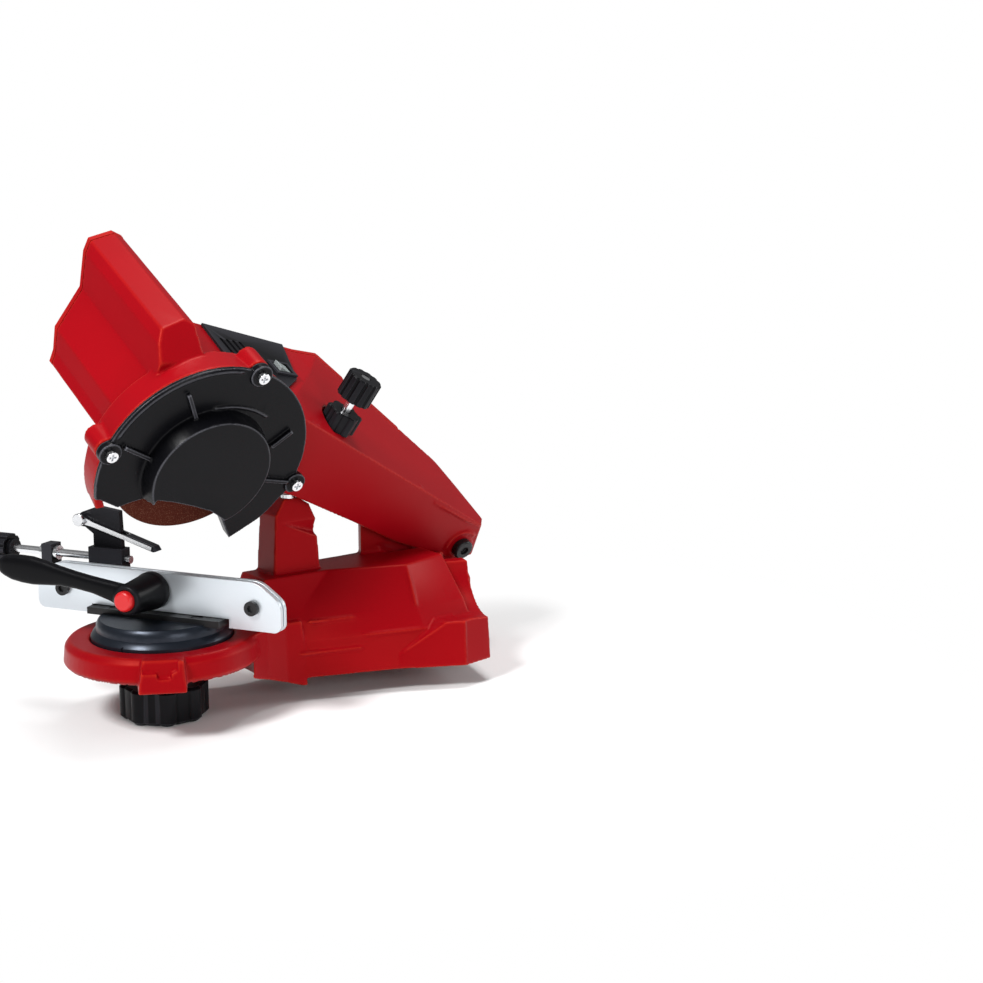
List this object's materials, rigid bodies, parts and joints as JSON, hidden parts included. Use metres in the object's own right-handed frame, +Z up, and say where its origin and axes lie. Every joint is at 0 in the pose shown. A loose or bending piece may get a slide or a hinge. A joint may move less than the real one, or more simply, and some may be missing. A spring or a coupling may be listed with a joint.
{
  "type": "electric chainsaw sharpener",
  "caption": "Bench-mounted electric chainsaw sharpener: hinged grinding head with guarded disc above a swivelling chain vice on a cast base.",
  "frame": {"origin": "on the bench plane, at the middle of the four screw bosses under the base", "axes": "+X from the operator towards the hinge of the head, -Y the side of the grinding disc, +Z up"},
  "size_m": [0.3505, 0.2123, 0.3029],
  "materials": {
    "red_base": "gloss paint",
    "red_shell": "gloss",
    "bright_steel": "bright",
    "bronze": "plain",
    "blue_black": "gloss paint",
    "black_plate": "gloss paint",
    "rail_steel": "bright",
    "black_plastic": "satin",
    "red_cap": "gloss",
    "brass_insert": "plain",
    "cover_plastic": "gloss",
    "core_steel": "matt",
    "copper": "plain",
    "carbon": "matt",
    "grey_plastic": "satin",
    "black_rubber": "matt",
    "abrasive": "satin"
  },
  "bodies": {
    "base": {"base_housing": "red_base", "depth_stop_pad": "bright_steel", "hinge_bushes": "bronze", "return_spring": "bright_steel"},
    "turntable": {"turntable_disc": "blue_black", "table_stud": "bright_steel", "rail_carrier": "black_plate", "carrier_screws": "black_plate", "fixed_rail_plate": "rail_steel", "guide_screws": "black_plate", "clamp_bolt": "bright_steel", "stop_guide": "black_plastic"},
    "moving_plate": {"moving_rail_plate": "rail_steel"},
    "lever": {"clamp_lever": "black_plastic", "lever_cap": "red_cap", "lever_insert": "brass_insert"},
    "chain_stop": {"stop_carriage": "black_plastic", "pawl_pivot_screw": "bright_steel"},
    "pawl": {"chain_pawl": "bright_steel", "pawl_tip": "black_plastic"},
    "stop_adjuster": {"stop_adjust_rod": "bright_steel", "stop_adjust_knob": "black_plastic"},
    "table_lock": {"table_lock_knob": "black_plastic", "lock_knob_insert": "brass_insert"},
    "head": {"head_housing": "red_shell", "rear_cover": "red_shell", "rear_cover_screws": "bright_steel", "wheel_cover": "cover_plastic", "cover_screws": "bright_steel", "motor_stator": "core_steel", "field_coils": "copper", "brush_holders": "brass_insert", "carbon_brushes": "carbon", "front_bearing": "bright_steel", "rear_bearing": "bright_steel", "vent_grille": "black_plastic", "switch_body": "black_plastic", "cable_gland": "black_rubber", "depth_insert": "brass_insert", "motor_screws": "bright_steel", "hinge_bolt": "black_plate", "hinge_nut": "bright_steel"},
    "spindle": {"motor_shaft": "bright_steel", "armature_core": "core_steel", "armature_windings": "copper", "commutator": "copper", "cooling_fan": "black_plastic", "inner_flange": "bright_steel", "grinding_disc": "abrasive", "outer_flange": "bright_steel", "spindle_nut": "bright_steel"},
    "depth_screw": {"depth_screw": "bright_steel"},
    "depth_knob": {"depth_knob": "black_plastic"},
    "lock_nut": {"depth_lock_nut": "black_plastic"},
    "rocker": {"switch_rocker": "grey_plastic"}
  },
  "joints": [
    {"name": "head_pivot", "type": "hinge", "parent": "base", "child": "head", "pos_m": [0.0982, 0.02376, 0.0632], "axis": [0, -0.8878, -0.4602], "range_deg": [0, 7.8], "stiffness_Nm_per_rad": 12, "springref_deg": -25.78, "deforming": ["return_spring"]},
    {"name": "spindle_spin", "type": "hinge", "parent": "head", "child": "spindle", "pos_m": [-0.1398, -0.02114, 0.1672], "axis": [0, -0.8878, -0.4602], "continuous": true},
    {"name": "table_swivel", "type": "hinge", "parent": "base", "child": "turntable", "pos_m": [-0.145, 0, 0.04], "axis": [0, 0, 1], "range_deg": [-65, 5]},
    {"name": "table_lock_turn", "type": "hinge", "parent": "turntable", "child": "table_lock", "pos_m": [-0.145, 0, 0], "axis": [0, 0, 1], "range_deg": [-180, 180]},
    {"name": "clamp_lever_turn", "type": "hinge", "parent": "turntable", "child": "lever", "pos_m": [-0.16332, -0.00827, 0.067], "axis": [-0.866, -0.5, 0], "range_deg": [0, 30.3]},
    {"name": "moving_plate_slide", "type": "slide", "parent": "turntable", "child": "moving_plate", "axis": [0.866, 0.5, 0], "range_m": [0, 0.0008]},
    {"name": "stop_adjuster_turn", "type": "hinge", "parent": "turntable", "child": "stop_adjuster", "pos_m": [-0.18721, 0.0911, 0.081], "axis": [0.5, -0.866, 0], "range_deg": [-3636, 3636]},
    {"name": "chain_stop_slide", "type": "slide", "parent": "turntable", "child": "chain_stop", "axis": [0.5, -0.866, 0], "range_m": [-0.01, 0.01]},
    {"name": "pawl_lift", "type": "hinge", "parent": "chain_stop", "child": "pawl", "pos_m": [-0.16769, 0.05849, 0.105], "axis": [-0.866, -0.5, 0], "range_deg": [0, 8]},
    {"name": "depth_screw_travel", "type": "slide", "parent": "head", "child": "depth_screw", "axis": [0.324, -0.4354, 0.8399], "range_m": [0, 0.008]},
    {"name": "depth_knob_turn", "type": "hinge", "parent": "depth_screw", "child": "depth_knob", "pos_m": [-0.01642, -0.03332, 0.18635], "axis": [0.324, -0.4354, 0.8399], "range_deg": [0, 2327]},
    {"name": "lock_nut_turn", "type": "hinge", "parent": "head", "child": "lock_nut", "pos_m": [-0.0242, -0.02287, 0.1662], "axis": [0.324, -0.4354, 0.8399], "range_deg": [0, 360]},
    {"name": "rocker_tilt", "type": "hinge", "parent": "head", "child": "rocker", "pos_m": [-0.05613, -0.00288, 0.19716], "axis": [0, -0.8878, -0.4602], "range_deg": [0, 9]}
  ],
  "couplings": [
    {"joint": "clamp_lever_turn", "follows": "moving_plate_slide", "rad_per_m": 654.5},
    {"joint": "stop_adjuster_turn", "follows": "chain_stop_slide", "rad_per_m": 6283.2},
    {"joint": "depth_knob_turn", "follows": "depth_screw_travel", "rad_per_m": 5026.5}
  ]
}
